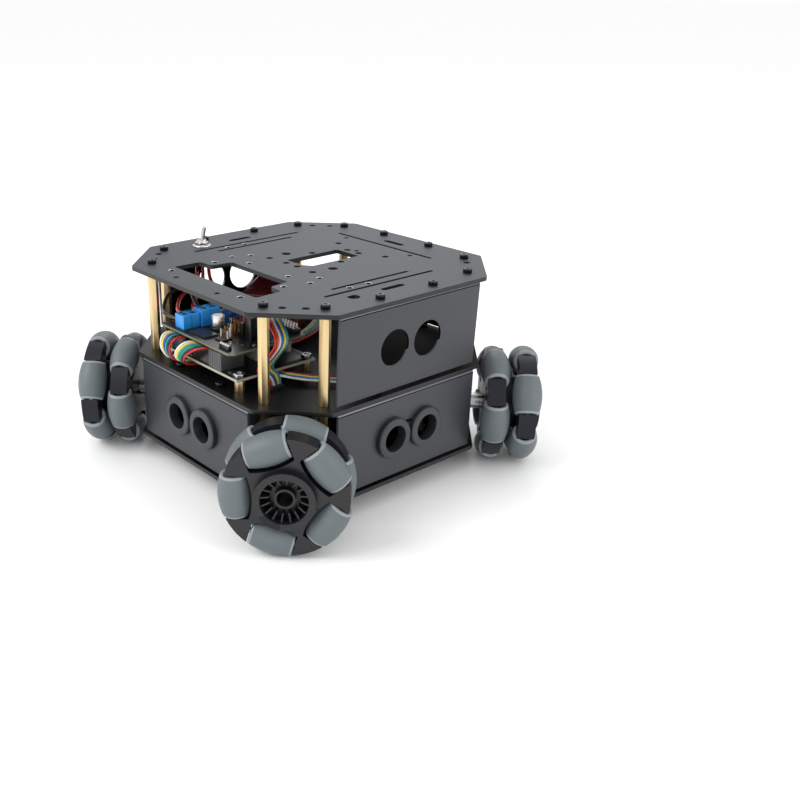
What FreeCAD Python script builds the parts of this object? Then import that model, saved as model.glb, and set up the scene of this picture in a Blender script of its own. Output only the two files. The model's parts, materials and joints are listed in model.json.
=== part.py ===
import FreeCAD, Part
import math
import os

os.makedirs("parts", exist_ok=True)
V = FreeCAD.Vector
UP = V(0, 0, 1)
ORIGIN = V(0, 0, 0)

# ---- driving dimensions, millimetres; origin on the floor under the chassis centre ----
SHEET = 2.5                      # thickness of the three octagonal plates
Z_BOTTOM = 12.7                  # underside of the bottom plate
LOWER_POST = 50.4                # hex post between bottom and middle plate
UPPER_POST = 51.6                # hex post between middle and top plate
Z_BOTTOM_TOP = Z_BOTTOM + SHEET
Z_MID = Z_BOTTOM_TOP + LOWER_POST
Z_MID_TOP = Z_MID + SHEET
Z_TOP_UNDER = Z_MID_TOP + UPPER_POST
Z_TOP = Z_TOP_UNDER + SHEET
TOP_HALF, TOP_VERTEX = 90.0, 56.8
MID_HALF, MID_VERTEX = 88.5, 57.3
BOTTOM_HALF, BOTTOM_VERTEX = 89.3, 57.0
VERTEX_R = 4.0

POST_FAR, POST_NEAR = 77.2, 54.4   # corner posts
POST_AF = 5.5
POST_BORE_R, POST_BORE, STUD_R, STUD_LEN = 1.5, 8.0, 1.4, 7.0
SPARE_FAR, SPARE_NEAR, SPARE_R = 70.8, 62.2, 2.1
EDGE_OFF, EDGE_HALF = 82.1, 20.2   # screws that carry the side panels
CLEAR_R = 1.6
HEAD_R, HEAD_H, HEAD_CROWN, SCREW_LEN = 2.65, 2.6, 0.8, 6.0
SOCKET_AF, SOCKET_DEPTH = 2.0, 1.4
NUT_H = 2.4

PANEL_T = 1.5
PANEL_FACE, PANEL_HALF, PANEL_FLANGE, PANEL_BEND = 88.0, 53.6, 11.5, 2.4
TAB_HALF = 47.0                  # half width of the top flange that is screwed to the plate
PANEL_LEAN = 1.3
UPPER_PANEL_Z0 = Z_TOP - 52.3
LOWER_PANEL_Z0 = Z_BOTTOM_TOP + 1.4
EYE_HALF, EYE_R = 12.65, 10.6
UPPER_EYE_Z, LOWER_EYE_Z = Z_TOP - 28.1, Z_TOP - 81.4
GROMMET_R, GROMMET_BORE_R, GROMMET_OUT, GROMMET_IN = 12.1, 7.9, 3.2, 1.6

WHEEL_R = 35.4
ROLLER_R, ROLLER_LEN = 8.85, 23.4
ROLLER_ORBIT = WHEEL_R - ROLLER_R
ROLLER_BORE_R, PIN_R, PIN_HALF = 1.56, 1.5, 16.6
ROLLER_DISH_R, ROLLER_DISH = 5.0, 1.2
ROW_OUT, ROW_IN = 133.2, 115.0     # distances of the two roller rows from the chassis centre
ROW_MID = (ROW_OUT + ROW_IN) / 2
ROLLERS = 5
PITCH = 360.0 / ROLLERS
STAR_R, STAR_FACE, STAR_BACK = 33.4, 5.4, 5.0
STAR_GAP = 0.6
BOSS_R, BOSS_FACE, RECESS_R, RECESS_DEPTH = 16.2, 9.6, 12.6, 8.0
RING_R, RING_DROP, HUB_BORE_R = 5.6, 3.8, 4.3
RIBS, RIB_T, RIB_DROP, RIB_START = 16, 0.9, 1.6, 8.0
CORE_R = 15.8
COUPLING_R, COUPLING_BACK, COUPLING_NOSE_R = 4.85, 90.5, 4.22
SHAFT_R, SHAFT_BORE_R, SHAFT_BACK = 2.0, 2.06, 76.0

MOTOR_R, MOTOR_BACK, MOTOR_FACE = 12.4, 38.0, 86.5
GEARBOX_LEN, CAN_R, CAP_R, CAP_LEN = 22.0, 12.0, 10.5, 7.0
MOTOR_COLLAR_R, MOTOR_COLLAR_LEN = 3.5, 2.4
BRACKET_T, BRACKET_HALF, BRACKET_FOOT, BRACKET_UP = 2.0, 11.5, 30.0, 10.0
FOOT_BACK, FOOT_ACROSS = (10.0, 24.0), 7.0     # screw holes of the bracket's foot

BOARD_X0, BOARD_X1, BOARD_Y0, BOARD_Y1 = -42.0, 36.5, -82.0, -26.0
BOARD_T, BOARD_LIFT, SHIELD_LIFT = 1.6, 7.0, 20.0
SHIELD_X1 = 30.5
STANDOFF_AF = 5.0
Z_BOARD = Z_MID_TOP + BOARD_LIFT
Z_SHIELD = Z_MID_TOP + SHIELD_LIFT
BATTERY_CORNER = (-38.0, -26.0)
BATTERY_SIZE = (75.0, 35.0, 30.0)
BATTERY_TURN = 126.87              # degrees; the pack lies across the bay
BATTERY_EDGE_R = 3.0

TOGGLE_X, TOGGLE_Y = -71.4, -29.8
TOGGLE_BODY = (13.2, 8.0, 9.6)
TOGGLE_BUSH_R, TOGGLE_BUSH_UP, TOGGLE_BORE_R = 2.95, 4.0, 2.1
TOGGLE_MOUTH_R0, TOGGLE_MOUTH_R1, TOGGLE_WELL = 1.75, 2.55, 1.5
TOGGLE_NUT_AF, TOGGLE_NUT_H, WASHER_R, WASHER_T = 8.0, 2.0, 6.0, 0.6
LUG_PITCH, LUG_LEN = 4.7, 4.0
LEVER_LEN, LEVER_R0, LEVER_R1, LEVER_BALL_R, LEVER_TILT = 10.5, 1.15, 1.5, 1.45, 11.0
LEVER_PIVOT_Z = Z_TOP + 1.0

WIRE_R, POWER_R, SLEEVE_R, PITCH_W = 0.65, 1.15, 2.2, 1.5
CABLE_X, CABLE_Y = 42.0, 60.0
SIDE_CABLE = (70.0, 22.0)          # the right motor's cable comes up beside its side panel
BOOT_LONG, BOOT_WIDE, BOOT_PLAY = 10.0, 4.6, 0.3   # six-way boot in each slot of the middle plate

# wheel name, direction of its axle from the centre, angle of one outer roller round the axle
WHEELS = [("front", -45.0, 38.3), ("right", 45.0, 4.0), ("rear", 135.0, 28.0), ("left", 225.0, 28.0)]


def save(name, shape):
    shape.exportStep("parts/%s.step" % name)


def group(solids):
    return Part.makeCompound(solids)


def cyl(r, h, p, axis=UP):
    return Part.makeCylinder(r, h, p, axis)


def box(x0, x1, y0, y1, z0, z1):
    return Part.makeBox(x1 - x0, y1 - y0, z1 - z0, V(x0, y0, z0))


def prism(points, z0, height):
    loop = [V(x, y, z0) for x, y in points]
    face = Part.Face(Part.makePolygon(loop + loop[:1]))
    return face.extrude(V(0, 0, height))


def rounded(solid, radius):
    tall = 0.5 * solid.BoundBox.ZLength
    edges = [e for e in solid.Edges
             if len(e.Vertexes) == 2 and abs(e.Vertexes[0].Z - e.Vertexes[1].Z) > tall]
    return solid.makeFillet(radius, edges)


def hexagon(flats, z0, height, x, y, turn=0.0):
    r = flats / math.sqrt(3.0)
    ang = [math.radians(60.0 * k + turn) for k in range(6)]
    return prism([(x + r * math.cos(a), y + r * math.sin(a)) for a in ang], z0, height)


def turned(shape, degrees):
    copy = shape.copy()
    copy.rotate(ORIGIN, UP, degrees)
    return copy


def octagon(half, vertex, z0):
    pts = [(half, -vertex), (half, vertex), (vertex, half), (-vertex, half),
           (-half, vertex), (-half, -vertex), (-vertex, -half), (vertex, -half)]
    return rounded(prism(pts, z0, SHEET), VERTEX_R)


def slot(x0, x1, y0, y1, z0, height=SHEET):
    pad = 1.0
    r = min(x1 - x0, y1 - y0) / 2.0 * 0.98
    return rounded(prism([(x0, y0), (x1, y0), (x1, y1), (x0, y1)], z0 - pad, height + 2 * pad), r)


def holes(points, r, z0, height=SHEET):
    pad = 1.0
    return [cyl(r, height + 2 * pad, V(x, y, z0 - pad)) for x, y in points]


def mirrored(points):
    return points + [(-x, y) for x, y in points if x]


CORNER_POSTS = [(sx * a, sy * b) for sx in (1, -1) for sy in (1, -1)
                for a, b in ((POST_FAR, POST_NEAR), (POST_NEAR, POST_FAR))]
CORNER_SPARES = [(sx * a, sy * b) for sx in (1, -1) for sy in (1, -1)
                 for a, b in ((SPARE_FAR, SPARE_NEAR), (SPARE_NEAR, SPARE_FAR))]
EDGE_HOLES = [(s * EDGE_OFF, t * EDGE_HALF) for s in (1, -1) for t in (1, -1)]
EDGE_HOLES += [(t * EDGE_HALF, s * EDGE_OFF) for s in (1, -1) for t in (1, -1)]
CABLES = {"front": (CABLE_X, -CABLE_Y), "right": SIDE_CABLE, "rear": (-CABLE_X, CABLE_Y), "left": (-CABLE_X, -CABLE_Y)}

# ---- top plate: the pattern of slots and holes that carries servos, sensors and brackets ----
SERVO_HOLES = [(5.15, -13.9), (5.15, 35.5)]
ROUND_HOLES = [(SERVO_HOLES, 2.1),
               ([(20.3, -14.8), (13.3, 13.4), (21.6, 42.5)], 2.1),
               ([(21.9, -0.5)], 2.9),
               ([(29.1, 56.2)], 1.6),
               ([(33.8, -76.5), (33.0, -46.5), (32.4, -20.0), (36.9, -30.6)], 1.5),
               ([(18.5, -31.5), (57.2, -19.5), (57.7, -5.7)], 1.5)]
top = octagon(TOP_HALF, TOP_VERTEX, Z_TOP_UNDER)
tools = holes(CORNER_POSTS, CLEAR_R, Z_TOP_UNDER) + holes(CORNER_SPARES, SPARE_R, Z_TOP_UNDER)
tools += holes(EDGE_HOLES, CLEAR_R, Z_TOP_UNDER) + holes([(0.0, 38.5)], 1.5, Z_TOP_UNDER)
for points, radius in ROUND_HOLES:
    tools += holes(mirrored(points), radius, Z_TOP_UNDER)
servo = [(-9.9, -9.6), (9.9, -9.6), (9.9, 31.0), (-9.9, 31.0)]
tools.append(rounded(prism(servo, Z_TOP_UNDER - 1, SHEET + 2), 1.0))
tee = [(-39.9, -70.9), (39.9, -70.9), (39.0, -53.0), (28.6, -52.2), (26.8, -38.6),
       (-26.8, -38.6), (-28.6, -52.2), (-39.0, -53.0)]
tools.append(rounded(prism(tee, Z_TOP_UNDER - 1, SHEET + 2), 2.0))
for side in (1, -1):
    tools.append(slot(side * 61.7 - 1.1, side * 61.7 + 1.1, -41.8, 41.8, Z_TOP_UNDER))
    tools.append(slot(side * 53.6 - 1.1, side * 53.6 + 1.1, -29.8, 29.8, Z_TOP_UNDER))
    tools.append(slot(side * 71.1 - 1.9, side * 71.1 + 1.9, -8.5, 8.5, Z_TOP_UNDER))
tools.append(slot(-42.2, 42.2, 60.3, 62.5, Z_TOP_UNDER))
tools.append(slot(-8.4, 8.4, 69.2, 73.0, Z_TOP_UNDER))
dee = cyl(3.5, SHEET + 2, V(71.1, -29.2, Z_TOP_UNDER - 1))
tools.append(dee.cut(box(64.0, 68.5, -35.0, -24.0, Z_TOP_UNDER - 2, Z_TOP + 2)))
tools += holes([(TOGGLE_X, TOGGLE_Y)], TOGGLE_BUSH_R + 0.1, Z_TOP_UNDER)
top = top.cut(tools)
save("top_plate", top)


# ---- middle and bottom plates ----
def boot(x, y, grow, z0, z1):
    """Block over a cable slot of the middle plate; the slot of the front motor lies the other way."""
    along_y = x > 0 and y < 0
    a, b = (BOOT_WIDE, BOOT_LONG) if along_y else (BOOT_LONG, BOOT_WIDE)
    return box(x - a / 2 - grow, x + a / 2 + grow, y - b / 2 - grow, y + b / 2 + grow, z0, z1)


BOARD_POSTS = [(-38.0, -78.0), (33.2, -77.9), (-38.0, -30.0), (33.2, -30.0)]
tools = holes(CORNER_POSTS, CLEAR_R, Z_MID) + holes(EDGE_HOLES, CLEAR_R, Z_MID)
tools += holes(BOARD_POSTS, CLEAR_R, Z_MID)
tools += [boot(x, y, BOOT_PLAY, Z_MID - 1, Z_MID_TOP + 1) for x, y in CABLES.values()]
tools.append(slot(-12.0, 12.0, 78.0, 82.0, Z_MID))
mid = octagon(MID_HALF, MID_VERTEX, Z_MID).cut(tools)
save("mid_plate", mid)

foot_holes = []
for _, heading, _ in WHEELS:
    c, s = math.cos(math.radians(heading)), math.sin(math.radians(heading))
    for back in FOOT_BACK:
        for across in (FOOT_ACROSS, -FOOT_ACROSS):
            along = MOTOR_FACE - back
            foot_holes.append((along * c - across * s, along * s + across * c))
tools = holes(CORNER_POSTS, CLEAR_R, Z_BOTTOM) + holes(foot_holes, CLEAR_R, Z_BOTTOM)
tools += [slot(-14.0, 14.0, y - 2.0, y + 2.0, Z_BOTTOM) for y in (-60.0, 60.0)]
bottom = octagon(BOTTOM_HALF, BOTTOM_VERTEX, Z_BOTTOM).cut(tools)
save("bottom_plate", bottom)


# ---- bent sheet side panels with a pair of sensor eyes ----
def panel(z0, z_flange_top, eye_z, lean):
    x1, x0 = PANEL_FACE, PANEL_FACE - PANEL_T
    z1 = z_flange_top
    pts = [(x1 - PANEL_FLANGE, z1), (x1, z1), (x1 - lean, z0), (x0 - lean, z0),
           (x0, z1 - PANEL_T), (x1 - PANEL_FLANGE, z1 - PANEL_T)]
    loop = [V(x, -PANEL_HALF, z) for x, z in pts]
    body = Part.Face(Part.makePolygon(loop + loop[:1])).extrude(V(0, 2 * PANEL_HALF, 0))
    bend = [e for e in body.Edges if e.BoundBox.YLength > PANEL_HALF
            and abs(e.BoundBox.XMin - x1) < 0.01 and abs(e.BoundBox.ZMax - z1) < 0.01]
    body = body.makeFillet(PANEL_BEND - 0.3, bend)
    cuts = []
    for s in (1, -1):
        near, far = sorted((s * TAB_HALF, s * (PANEL_HALF + 6.4)))
        cuts.append(cyl(EYE_R, 12.0, V(x0 - 6, s * EYE_HALF, eye_z), V(1, 0, 0)))
        cuts.append(box(x1 - 2 * PANEL_FLANGE, x0 - 1.0, near, far, z1 - 5.0, z1 + 1.0))
        cuts.append(cyl(CLEAR_R, 2 * PANEL_T, V(EDGE_OFF, s * EDGE_HALF, z1 - 1.5 * PANEL_T)))
    return body.cut(cuts)


upper_panel = panel(UPPER_PANEL_Z0, Z_TOP_UNDER, UPPER_EYE_Z, PANEL_LEAN)
save("upper_side_panels", group([turned(upper_panel, a) for a in (0, 90, 180)]))
lower_panel = panel(LOWER_PANEL_Z0, Z_MID, LOWER_EYE_Z, 0.0)
save("lower_side_panels", group([turned(lower_panel, a) for a in (0, 90, 180, 270)]))


def grommet(side):
    face, inner = PANEL_FACE, PANEL_FACE - PANEL_T
    base, axis = V(inner - GROMMET_IN, side * EYE_HALF, LOWER_EYE_Z), V(1, 0, 0)
    length = GROMMET_IN + PANEL_T + GROMMET_OUT
    body = cyl(GROMMET_R, length, base, axis)
    rim = [e for e in body.Edges
           if abs(e.BoundBox.XMin - face - GROMMET_OUT) < 0.01 and len(e.Vertexes) == 1]
    body = body.makeFillet(1.0, rim)
    groove = cyl(GROMMET_R + 1, PANEL_T + 0.1, V(inner - 0.05, side * EYE_HALF, LOWER_EYE_Z), axis)
    groove = groove.cut(cyl(EYE_R - 0.05, length, base, axis))
    return body.cut([groove, cyl(GROMMET_BORE_R, length + 2, base - V(1, 0, 0), axis)])


save("panel_grommets", group([turned(grommet(s), a) for a in (0, 90, 180, 270) for s in (1, -1)]))

# ---- hex posts: the upper ones screw through the middle plate into the lower ones ----
posts = []
for x, y in CORNER_POSTS:
    bores = [cyl(POST_BORE_R, POST_BORE + 1, V(x, y, z))
             for z in (Z_BOTTOM_TOP - 1, Z_MID - POST_BORE, Z_TOP_UNDER - POST_BORE)]
    posts.append(hexagon(POST_AF, Z_BOTTOM_TOP, LOWER_POST, x, y).cut(bores[:2]))
    high = hexagon(POST_AF, Z_MID_TOP, UPPER_POST, x, y).cut(bores[2])
    posts.append(high.fuse(cyl(STUD_R, STUD_LEN, V(x, y, Z_MID_TOP - STUD_LEN))))
save("tier_posts", group(posts))


def screw(x, y, z, up=1, shank=SCREW_LEN):
    """Socket cap screw with its head on the face at z; up is +1 on a plate and -1 under it."""
    head = cyl(HEAD_R, HEAD_H, V(x, y, z), V(0, 0, up))
    crown = [e for e in head.Edges
             if len(e.Vertexes) == 1 and abs(e.BoundBox.ZMax - z - up * HEAD_H) < 0.01]
    head = head.makeFillet(HEAD_CROWN, crown)
    socket = hexagon(SOCKET_AF, -SOCKET_DEPTH, 2 * SOCKET_DEPTH, x, y)
    socket.translate(V(0, 0, z + up * HEAD_H))
    return head.cut(socket).fuse(cyl(STUD_R, shank, V(x, y, z), V(0, 0, -up)))


def nut(x, y, z_top):
    bore = cyl(POST_BORE_R, NUT_H + 2, V(x, y, z_top - NUT_H - 1))
    return hexagon(POST_AF, z_top - NUT_H, NUT_H, x, y).cut(bore)


top_edge = [p for p in EDGE_HOLES if p[1] > -EDGE_OFF + 1]
screws = [screw(x, y, Z_TOP) for x, y in CORNER_POSTS + top_edge]
screws += [screw(x, y, Z_MID_TOP) for x, y in EDGE_HOLES]
screws += [screw(x, y, Z_BOTTOM, -1) for x, y in CORNER_POSTS]
screws += [screw(x, y, Z_BOTTOM_TOP + BRACKET_T, 1) for x, y in foot_holes]
screws += [nut(x, y, Z_TOP_UNDER - PANEL_T) for x, y in top_edge]
screws += [nut(x, y, Z_MID - PANEL_T) for x, y in EDGE_HOLES]
save("plate_screws", group(screws))


# ---- wheels: two rows of five barrel rollers on a spoked hub, built with the axle on +X ----
def barrel():
    half, reach = ROLLER_LEN / 2, math.sqrt(WHEEL_R ** 2 - (ROLLER_LEN / 2) ** 2) - ROLLER_ORBIT
    dish = half - ROLLER_DISH
    a, m, b = V(0, reach, -half), V(0, ROLLER_R, 0), V(0, reach, half)
    loop = [b, V(0, ROLLER_DISH_R, half), V(0, ROLLER_DISH_R, dish), V(0, ROLLER_BORE_R, dish),
            V(0, ROLLER_BORE_R, -dish), V(0, ROLLER_DISH_R, -dish), V(0, ROLLER_DISH_R, -half), a]
    edges = [Part.Arc(a, m, b).toShape()]
    edges += [Part.LineSegment(p, q).toShape() for p, q in zip(loop[:-1], loop[1:])]
    return Part.Face(Part.Wire(edges)).revolve(ORIGIN, UP, 360)


def place_roller(shape, row, angle):
    copy = shape.copy()
    copy.translate(V(row, ROLLER_ORBIT, 0))
    copy.rotate(ORIGIN, V(1, 0, 0), angle)
    return copy


def star(face_x, back_x):
    """Star of five arms seen along the axle, its bays cut round the rollers."""
    half = ROLLER_LEN / 2 + STAR_GAP
    low = 2 * ROLLER_ORBIT - math.sqrt(WHEEL_R ** 2 - (ROLLER_LEN / 2) ** 2) - STAR_GAP
    beyond = WHEEL_R + 10.0
    a, m, b = V(0, low, -half), V(0, ROLLER_ORBIT - ROLLER_R - STAR_GAP, 0), V(0, low, half)
    sides = ((b, V(0, beyond, half)), (V(0, beyond, half), V(0, beyond, -half)), (V(0, beyond, -half), a))
    edges = [Part.Arc(a, m, b).toShape()] + [Part.LineSegment(p, q).toShape() for p, q in sides]
    bay = Part.Face(Part.Wire(edges)).extrude(V(40, 0, 0))
    ends = [e for e in bay.Edges if e.BoundBox.XLength > 39 and abs(e.Vertexes[0].Y - low) < 0.01]
    bay = bay.makeFillet(1.2, ends)
    bay.translate(V(min(face_x, back_x) - 10, 0, 0))
    disc = cyl(STAR_R, abs(face_x - back_x), V(min(face_x, back_x), 0, 0), V(1, 0, 0))
    bays = []
    for k in range(ROLLERS):
        copy = bay.copy()
        copy.rotate(ORIGIN, V(1, 0, 0), PITCH * k)
        bays.append(copy)
    return disc.cut(bays)


def hub_half(sign):
    """One moulded half; sign +1 is the outer row, -1 the row next to the chassis."""
    row = ROW_OUT if sign > 0 else ROW_IN
    axis = V(1, 0, 0)
    body = star(row + sign * STAR_FACE, row - sign * STAR_BACK)
    core_end = row - sign * STAR_BACK
    body = body.fuse(cyl(CORE_R, abs(core_end - ROW_MID), V(min(core_end, ROW_MID), 0, 0), axis))
    if sign > 0:
        body = body.fuse(cyl(BOSS_R, BOSS_FACE, V(row, 0, 0), axis))
        face = row + BOSS_FACE
        body = body.cut(cyl(RECESS_R, RECESS_DEPTH + 1, V(face - RECESS_DEPTH, 0, 0), axis))
        rib = box(face - RECESS_DEPTH, face - RIB_DROP, RIB_START, RECESS_R + 0.5, -RIB_T / 2, RIB_T / 2)
        ribs = []
        for k in range(RIBS):
            copy = rib.copy()
            copy.rotate(ORIGIN, axis, k * 360.0 / RIBS)
            ribs.append(copy)
        slope = Part.makeCone(RECESS_R - 0.8, RING_R + 1.2, RING_DROP - RIB_DROP + 0.4,
                              V(face - RIB_DROP + 0.01, 0, 0), V(-1, 0, 0))
        cage = ribs[0].fuse(ribs[1:]).cut(slope)
        ring = cyl(RING_R, RECESS_DEPTH - RING_DROP, V(face - RECESS_DEPTH, 0, 0), axis)
        body = body.fuse([cage, ring])
    body = body.cut(cyl(HUB_BORE_R, 60.0, V(100, 0, 0), axis))
    pin = cyl(PIN_R + 0.02, 2 * PIN_HALF + 0.2, V(row, ROLLER_ORBIT, -PIN_HALF - 0.1))
    sockets = []
    for k in range(ROLLERS):
        copy = pin.copy()
        copy.rotate(ORIGIN, axis, PITCH * k)
        sockets.append(copy)
    return body.cut(sockets)


AXLE_UP = WHEEL_R
roller_shape = barrel()
outer_half = hub_half(1)
inner_half = hub_half(-1)
inner_half.rotate(ORIGIN, V(1, 0, 0), PITCH / 2)
ALONG = V(1, 0, 0)
coupling = cyl(COUPLING_R, ROW_IN - STAR_FACE - COUPLING_BACK - 0.2, V(COUPLING_BACK, 0, 0), ALONG)
nose = cyl(COUPLING_NOSE_R, 30.0, V(COUPLING_BACK + 1, 0, 0), ALONG)
shaft = cyl(SHAFT_R, COUPLING_BACK - SHAFT_BACK + 2, V(SHAFT_BACK, 0, 0), ALONG)
coupling = coupling.fuse([nose, shaft])
pins = []
for row, start in ((ROW_OUT, 0.0), (ROW_IN, PITCH / 2)):
    for k in range(ROLLERS):
        pin = cyl(PIN_R, 2 * PIN_HALF, V(row, ROLLER_ORBIT, -PIN_HALF))
        pin.rotate(ORIGIN, V(1, 0, 0), start + PITCH * k)
        pins.append(pin)


def on_wheel(shape, phase, heading):
    copy = shape.copy()
    copy.rotate(ORIGIN, V(1, 0, 0), phase)
    copy.translate(V(0, 0, AXLE_UP))
    copy.rotate(ORIGIN, UP, heading)
    return copy


for wheel, heading, phase in WHEELS:
    pieces = [outer_half, inner_half, coupling] + pins
    save("hub_" + wheel, group([on_wheel(p, phase, heading) for p in pieces]))
    for row_name, row, start in (("outer", ROW_OUT, 0.0), ("inner", ROW_IN, PITCH / 2)):
        for k in range(ROLLERS):
            piece = place_roller(roller_shape, row, start + PITCH * k)
            save("roller_%s_%s%d" % (wheel, row_name, k + 1), on_wheel(piece, phase, heading))


# ---- gear motors on L brackets ----
def gear_motor():
    axis = V(1, 0, 0)
    gearbox = cyl(MOTOR_R, GEARBOX_LEN, V(MOTOR_FACE - GEARBOX_LEN, 0, AXLE_UP), axis)
    can = cyl(CAN_R, MOTOR_FACE - GEARBOX_LEN - MOTOR_BACK, V(MOTOR_BACK, 0, AXLE_UP), axis)
    cap = cyl(CAP_R, CAP_LEN, V(MOTOR_BACK - CAP_LEN, 0, AXLE_UP), axis)
    collar = cyl(MOTOR_COLLAR_R, MOTOR_COLLAR_LEN, V(MOTOR_FACE, 0, AXLE_UP), axis)
    body = gearbox.fuse([can, cap, collar])
    return body.cut(cyl(SHAFT_BORE_R, 30.0, V(SHAFT_BACK - 1, 0, AXLE_UP), axis))


def bracket():
    z0 = Z_BOTTOM_TOP
    front = MOTOR_FACE + BRACKET_T
    plate = box(MOTOR_FACE + 0.05, front, -BRACKET_HALF, BRACKET_HALF, z0, AXLE_UP + BRACKET_UP)
    foot = box(MOTOR_FACE - BRACKET_FOOT, front, -BRACKET_HALF, BRACKET_HALF, z0, z0 + BRACKET_T)
    cuts = [cyl(MOTOR_COLLAR_R + 0.1, 10.0, V(MOTOR_FACE - 2, 0, AXLE_UP), ALONG)]
    cuts += [cyl(CLEAR_R, 6.0, V(MOTOR_FACE - back, across, z0 - 1))
             for back in FOOT_BACK for across in (FOOT_ACROSS, -FOOT_ACROSS)]
    return plate.fuse(foot).cut(cuts)


save("gear_motors", group([turned(gear_motor(), heading) for _, heading, _ in WHEELS]))
save("motor_brackets", group([turned(bracket(), heading) for _, heading, _ in WHEELS]))

# ---- toggle switch ----
tx, ty = TOGGLE_X, TOGGLE_Y
bw, bd, bh = TOGGLE_BODY
case = box(tx - bd / 2, tx + bd / 2, ty - bw / 2, ty + bw / 2, Z_TOP_UNDER - bh, Z_TOP_UNDER - 0.05)
bush = cyl(TOGGLE_BUSH_R, TOGGLE_BUSH_UP + SHEET + 1, V(tx, ty, Z_TOP_UNDER - 1))
under = Z_TOP_UNDER - bh
lugs = [box(tx - 0.4, tx + 0.4, y - 1.0, y + 1.0, under - LUG_LEN, under + 1)
        for y in (ty + LUG_PITCH, ty, ty - LUG_PITCH)]
switch = case.fuse([bush] + lugs)
mouth = Part.makeCone(TOGGLE_MOUTH_R0, TOGGLE_MOUTH_R1, TOGGLE_BUSH_UP - 1.0 + 0.01, V(tx, ty, Z_TOP + 1.0))
well = cyl(TOGGLE_MOUTH_R0, TOGGLE_WELL + 1.1, V(tx, ty, Z_TOP - TOGGLE_WELL))
switch = switch.cut([mouth, well])
washer = cyl(WASHER_R, WASHER_T, V(tx, ty, Z_TOP))
washer = washer.cut(cyl(TOGGLE_BUSH_R + 0.1, 3, V(tx, ty, Z_TOP - 1)))
ring_nut = hexagon(TOGGLE_NUT_AF, Z_TOP + WASHER_T, TOGGLE_NUT_H, tx, ty, 12.0)
ring_nut = ring_nut.cut(cyl(TOGGLE_BUSH_R + 0.05, 5, V(tx, ty, Z_TOP - 1)))
save("toggle_switch", group([switch, washer, ring_nut]))
lever = Part.makeCone(LEVER_R0, LEVER_R1, LEVER_LEN, V(tx, ty, LEVER_PIVOT_Z))
lever = lever.fuse([Part.makeSphere(LEVER_BALL_R, V(tx, ty, LEVER_PIVOT_Z)),
                    Part.makeSphere(LEVER_R1, V(tx, ty, LEVER_PIVOT_Z + LEVER_LEN))])
lever.rotate(V(tx, ty, LEVER_PIVOT_Z), V(1, 0, 0), -LEVER_TILT)
save("toggle_lever", lever)

# ---- battery and electronics ----
long, wide, tall = BATTERY_SIZE
pack = box(0.0, long, -wide, 0.0, 0.0, tall)
pack = pack.makeFillet(BATTERY_EDGE_R, [e for e in pack.Edges if e.BoundBox.XLength > long - 1])
pack.rotate(ORIGIN, UP, BATTERY_TURN)
pack.translate(V(BATTERY_CORNER[0], BATTERY_CORNER[1], Z_MID_TOP))
save("battery_pack", pack)

# parts on the boards: x0, x1, y0, y1 and height
DATA_SOCKET = (9.0, 21.0, -81.5, -65.5, 10.6)
CABLE_PLUGS = [(-30.4, -15.4, -80.8, -72.0, 11.2), (-7.9, 8.7, -80.8, -72.0, 11.2)]
UNDER_PLUG = (14.0, 24.0, -57.5, -42.5, 4.9)
STACK_ROWS, STACK_X, PIN_ROW = (-33.0, -56.0), (-30.0, 20.0), 2.5
TERMINALS = [(-28.5, -19.5, -79.0, -67.6, 8.5), (-27.0, -18.0, -67.0, -54.2, 10.0)]
DARK_CONNECTOR = (-16.0, -8.0, -54.0, -47.0, 8.0)
CAPACITOR_R, CAPACITOR_H, CAPACITOR_AT = 4.0, 9.0, (-8.0, -62.6)
PIN_HEADERS = [(x, x + PIN_ROW, -60.0, -44.0, 8.5) for x in (-1.5, 2.5, 6.5, 10.0)]
TALL_HEADER = (13.6, 19.6, -59.5, -50.0, 13.0)
LOW_HEADERS = [(16.5, 25.5, -79.5, -77.0, 2.5), (2.0, 26.0, -33.0, -28.0, 2.5)]
SHIELD_CORNER, SHIELD_EDGE, SHIELD_Y0 = 3.0, 2.0, -81.8


def on_board(spec, z):
    x0, x1, y0, y1, height = spec
    return box(x0, x1, y0, y1, z, z + height)


zb = Z_BOARD + BOARD_T
board = box(BOARD_X0, BOARD_X1, BOARD_Y0, BOARD_Y1, Z_BOARD, zb)
parts = [board.cut(holes(BOARD_POSTS, CLEAR_R, Z_BOARD, BOARD_T))]
for x, y in BOARD_POSTS:
    post = hexagon(STANDOFF_AF, Z_MID_TOP, BOARD_LIFT, x, y)
    studs = [cyl(STUD_R, 2.4, V(x, y, Z_MID_TOP - 2.4)), cyl(STUD_R, 3.2, V(x, y, Z_BOARD))]
    parts.append(post.fuse(studs))
    parts.append(nut(x, y, zb + NUT_H))
parts += [on_board(spec, zb) for spec in [DATA_SOCKET] + CABLE_PLUGS]
parts.append(on_board(UNDER_PLUG, Z_BOARD - UNDER_PLUG[4]))
parts += [box(*STACK_X, y, y + PIN_ROW, zb, Z_SHIELD) for y in STACK_ROWS]
save("control_board", group(parts))

zs = Z_SHIELD + BOARD_T
west, north = BOARD_X0 + SHIELD_EDGE, BOARD_Y1 - SHIELD_EDGE
outline = [(west, SHIELD_Y0), (SHIELD_X1 - SHIELD_CORNER, SHIELD_Y0),
           (SHIELD_X1, SHIELD_Y0 + SHIELD_CORNER), (SHIELD_X1, north), (west, north)]
parts = [prism(outline, Z_SHIELD, BOARD_T)]
parts += [on_board(spec, zs) for spec in TERMINALS + [DARK_CONNECTOR]]
parts.append(cyl(CAPACITOR_R, CAPACITOR_H, V(*CAPACITOR_AT, zs)))
parts += [on_board(spec, zs) for spec in PIN_HEADERS + [TALL_HEADER] + LOW_HEADERS]
save("driver_shield", group(parts))


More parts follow.
